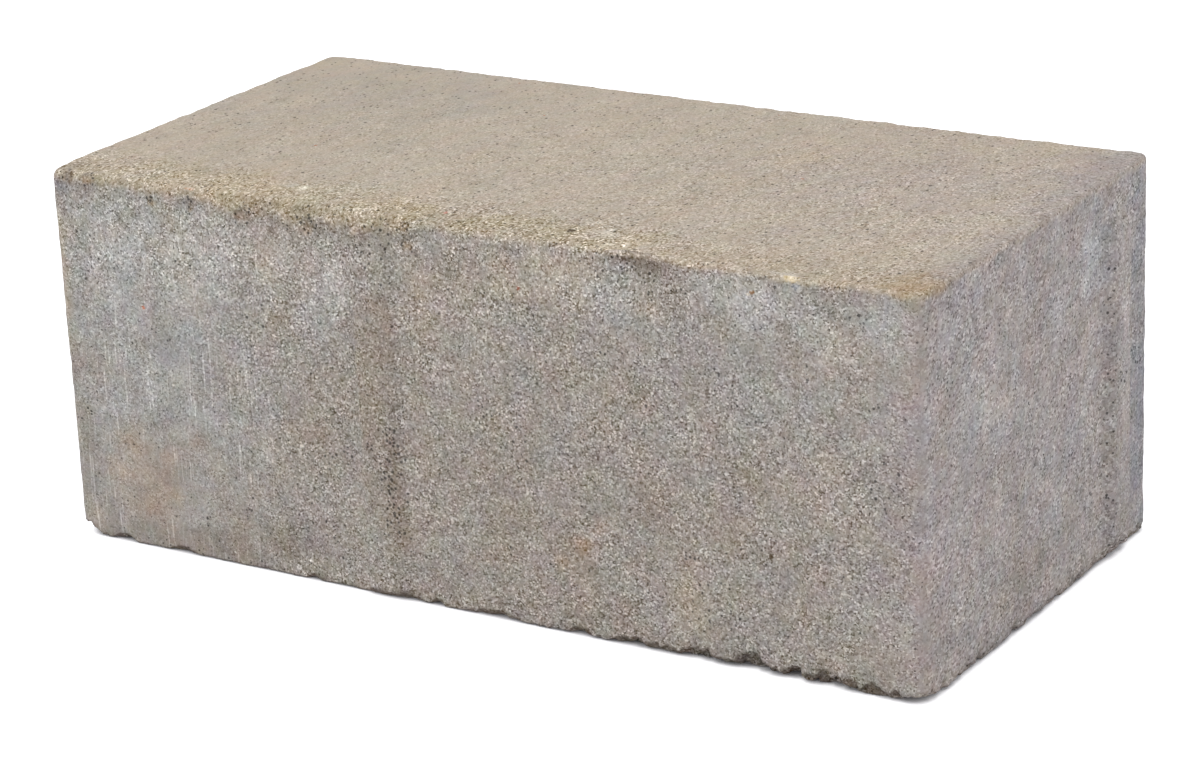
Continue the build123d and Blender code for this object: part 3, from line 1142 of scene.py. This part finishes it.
def concrete_material():
    """Sandy concrete: the tone of the place, broken up by sand, grit, pores, drag marks and a few specks."""
    material = bpy.data.materials.new("concrete")
    material.use_nodes = True
    nodes = Nodes(material.node_tree)
    where = nodes.scaled(nodes.add("ShaderNodeTexCoord").outputs["Object"], 1 / MM)
    tone = nodes.attribute("tone", "Color")
    lies = nodes.math("GREATER_THAN", nodes.attribute("lying"), 0.5)
    at_end = nodes.math("GREATER_THAN", nodes.attribute("end"), 0.5)
    upright_stretch = nodes.mixed(at_end, PLAIN_STRETCH, END_GRAIN_STRETCH)
    grain_place = nodes.vector("DIVIDE", where, nodes.mixed(lies, upright_stretch, LYING_STRETCH))
    pore_place = nodes.vector("DIVIDE", where, nodes.mixed(lies, PLAIN_STRETCH, LYING_STRETCH))

    # Light of the single grains: most near the middle, a few much paler or darker
    sand, _, sand_away = cell_grains(nodes, grain_place, SAND_SIZE)
    grit, grit_hue, _ = cell_grains(nodes, grain_place, GRIT_SIZE)
    clumps = nodes.clouds(where, CLUMP_SIZE, Detail=3.0, Roughness=0.7)
    swing = nodes.ramp(sand, 0, 1, -1, 1)
    tail = nodes.math("MULTIPLY", swing, nodes.math("MULTIPLY", swing, swing))
    sand_light = nodes.math("MULTIPLY_ADD", tail, SAND_TAIL, nodes.math("MULTIPLY", swing, SAND_LIGHT))
    grit_light = nodes.ramp(grit, 0, 1, -GRIT_LIGHT, GRIT_LIGHT)
    clump_light = nodes.ramp(clumps, *CLUMP_RANGE, -CLUMP_LIGHT, CLUMP_LIGHT)
    speckle = nodes.math("ADD", nodes.math("ADD", sand_light, grit_light), clump_light)

    # Small open pits, more and wider ones where there is more dirt
    pit, _, pit_away = cell_grains(nodes, pore_place, PIT_SPACING)
    open_chance = nodes.math("ADD", pit, nodes.attribute("dirt"))
    pit_size = nodes.ramp(open_chance, *PIT_OPENS, 0.0, PIT_WIDEST_SHARE)
    pits = nodes.ramp(nodes.math("SUBTRACT", pit_size, pit_away), 0.0, PIT_SOFT_SHARE)

    # Single uneven pores all over, smaller on the upright sides
    pore, _, pore_away = cell_grains(nodes, pore_place, PORE_SPACING)
    pore_room = nodes.ramp(lies, 0, 1, UPRIGHT_PORE_SHARE, 1)
    pore_size = nodes.math("MULTIPLY", nodes.ramp(pore, *PORE_OPENS, *PORE_SHARES), pore_room)
    uneven_away = nodes.math("MULTIPLY_ADD", swing, PORE_UNEVEN_SHARE, pore_away)
    pores = nodes.ramp(nodes.math("SUBTRACT", pore_size, uneven_away), 0.0, PORE_SOFT_SHARE)
    dark_pores = nodes.math("MULTIPLY", pores, PORE_DARK)
    holes = nodes.math("MAXIMUM", nodes.math("MULTIPLY", pits, PIT_DARK), dark_pores)

    # Pale upright drag marks
    drag = nodes.clouds(nodes.vector("DIVIDE", where, STREAK_SIZE), 1.0, Detail=1.0)
    marks = nodes.math("MULTIPLY", nodes.ramp(drag, *STREAK_SHOWS), nodes.attribute("streak"))

    # Odd grains
    speck, speck_hue, speck_away = cell_grains(nodes, where, SPECK_SPACING)
    speck_size = nodes.ramp(speck, *SPECK_OPENS, 0.0, SPECK_WIDEST_SHARE)
    speck_here = nodes.ramp(nodes.math("SUBTRACT", speck_size, speck_away), 0.0, SPECK_SOFT_SHARE)
    is_red = nodes.math("GREATER_THAN", speck_hue, RED_SPECK_FROM)
    speck_colour = nodes.mixed(is_red, (*linear(PALE_SPECK), 1), (*linear(RED_SPECK), 1))
    uneven_clumps = nodes.math("MULTIPLY", clumps, PEBBLE_CLUMPS)
    unevenness = nodes.math("MULTIPLY_ADD", sand, PEBBLE_SAND, uneven_clumps)
    tone = with_pebbles(nodes, where, unevenness, nodes.mixed(speck_here, tone, speck_colour))

    # Light of all of them: paler grains are also greyer
    plain_steps = nodes.math("MULTIPLY_ADD", marks, STREAK_LIGHT, 1.0)
    steps = nodes.math("MULTIPLY_ADD", speckle, nodes.attribute("grain"), plain_steps)
    gain = nodes.math("SUBTRACT", nodes.math("POWER", steps, EVEN_STEPS), 1.0)
    greyness = nodes.add("ShaderNodeRGBToBW", Color=tone).outputs[0]
    lit = nodes.vector("MULTIPLY_ADD", nodes.mixed(PALE_GRAIN_SHARE, tone, greyness), gain, tone)
    pitted = nodes.scaled(lit, nodes.math("SUBTRACT", 1.0, holes))

    # Hue of the grains, and of the paste between them
    hues = nodes.clouds(where, HUE_SIZE, "Color", Detail=2.0)
    paste = nodes.vector("MULTIPLY_ADD", hues, (HUE_SPREAD,) * 3, (1 - HUE_SPREAD / 2,) * 3)
    grain_hue = nodes.mixed(grit_hue, WARM_GRAIN, COOL_GRAIN)
    colour = nodes.vector("MULTIPLY", nodes.vector("MULTIPLY", pitted, paste), grain_hue)

    # Relief too fine for the mesh: each grain is a small dome
    domes = nodes.ramp(sand_away, 0.0, DOME_REACH, 1.0, 0.0)
    rise = nodes.math("MULTIPLY_ADD", domes, DOME_RISE, nodes.math("MULTIPLY", grit, GRIT_RISE))
    height = nodes.math("SUBTRACT", nodes.math("ADD", rise, clumps), holes)
    bump = nodes.add("ShaderNodeBump", Strength=BUMP_STRENGTH, Distance=BUMP_HEIGHT * MM, Height=height)
    rough = nodes.ramp(sand, 0.0, 1.0, *ROUGHNESS)

    shader = nodes.add("ShaderNodeBsdfPrincipled", Base_Color=colour, Roughness=rough, Normal=bump.outputs[0])
    shader.inputs["Specular IOR Level"].default_value = SHEEN
    nodes.add("ShaderNodeOutputMaterial", Surface=shader.outputs[0])
    return material


# Studio

FLOOR_HALF = 3.0
FLOOR_PALE = (0.79, 0.79, 0.83)
FLOOR_GLOW = 0.66
CONTACT_REACH = 0.0024
CONTACT_SAMPLES = 8
CONTACT_RANGE = (0.30, 0.65)
SKY_LEVEL = 0.86
LAMP_AWAY = 1.5
LAMP_SIZE = 1.1
# Lamps: the direction they stand in, seen from the stone, and their level
LAMPS = {
    "key": ((-0.45, -0.62, 0.64), 0.24),
    "fill": ((0.85, -0.25, 0.45), 0.12),
}


def seen_directly(nodes):
    """1 for rays that show the background itself: to the camera, or through gloss and glass."""
    rays = nodes.add("ShaderNodeLightPath").outputs
    through = nodes.math("MAXIMUM", rays["Is Glossy Ray"], rays["Is Transmission Ray"])
    return nodes.math("MAXIMUM", rays["Is Camera Ray"], through)


def studio_floor():
    """Pale floor that shows white to the camera and keeps the shadow under the stone."""
    corners = [(-1, -1), (1, -1), (1, 1), (-1, 1)]
    mesh = bpy.data.meshes.new("floor")
    mesh.from_pydata([(x * FLOOR_HALF, y * FLOOR_HALF, 0.0) for x, y in corners], [], [(0, 1, 2, 3)])
    floor = bpy.data.objects.new("floor", mesh)
    bpy.context.scene.collection.objects.link(floor)

    material = bpy.data.materials.new("floor")
    material.use_nodes = True
    nodes = Nodes(material.node_tree)
    contact = nodes.add("ShaderNodeAmbientOcclusion", {"samples": CONTACT_SAMPLES}, Distance=CONTACT_REACH)
    level = nodes.ramp(contact.outputs["AO"], *CONTACT_RANGE, 0.0, FLOOR_GLOW)
    glow = nodes.add("ShaderNodeEmission", Strength=level).outputs[0]
    plain = nodes.add("ShaderNodeBsdfDiffuse", Color=(*FLOOR_PALE, 1)).outputs[0]
    bright = nodes.result("ShaderNodeAddShader", {}, (plain, glow))
    shown = nodes.result("ShaderNodeMixShader", {}, (seen_directly(nodes), plain, bright))
    nodes.add("ShaderNodeOutputMaterial", Surface=shown)
    mesh.materials.append(material)


def studio_light():
    """Even light from all round, white to the camera, and two large soft lamps."""
    world = bpy.data.worlds.new("studio")
    world.use_nodes = True
    nodes = Nodes(world.node_tree)
    level = nodes.ramp(seen_directly(nodes), 0, 1, SKY_LEVEL, 1.0)
    sky = nodes.add("ShaderNodeBackground", Strength=level)
    sky.inputs["Color"].default_value = (1, 1, 1, 1)
    nodes.add("ShaderNodeOutputWorld", Surface=sky.outputs[0])
    bpy.context.scene.world = world

    for name, (direction, level) in LAMPS.items():
        lamp = bpy.data.lights.new(name, "AREA")
        lamp.shape = "SQUARE"
        lamp.size = LAMP_SIZE
        lamp.energy = level * pi**2 * LAMP_AWAY**2
        soft_box = bpy.data.objects.new(name, lamp)
        towards = Vector(direction).normalized()
        soft_box.location = towards * LAMP_AWAY
        soft_box.rotation_euler = (-towards).to_track_quat("-Z", "Y").to_euler()
        bpy.context.scene.collection.objects.link(soft_box)


# Camera, at the photograph's viewing angle

EYE = Vector((387.9, -606.8, 287.2)) * MM
AIM = Vector((1.05, -1.80, 34.07)) * MM
ROLL = radians(-2.5)
FOCAL_LENGTH = 111.42
SENSOR_WIDTH = 36.0


def studio_camera():
    """Camera with the photograph's place, direction and field of view."""
    lens = bpy.data.cameras.new("camera")
    lens.lens = FOCAL_LENGTH
    lens.sensor_width = SENSOR_WIDTH
    lens.sensor_fit = "HORIZONTAL"
    lens.clip_start = 0.01
    camera = bpy.data.objects.new("camera", lens)
    turn = (AIM - EYE).to_track_quat("-Z", "Y") @ Quaternion((0, 0, 1), ROLL)
    camera.matrix_world = Matrix.Translation(EYE) @ turn.to_matrix().to_4x4()
    bpy.context.scene.collection.objects.link(camera)
    bpy.context.scene.camera = camera


# The scene

stone = stone_object()
stone.data.materials.append(concrete_material())
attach(stone, "root")
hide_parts("paving_stone")

studio_floor()
studio_light()
studio_camera()
bpy.context.scene.view_settings.view_transform = "Standard"
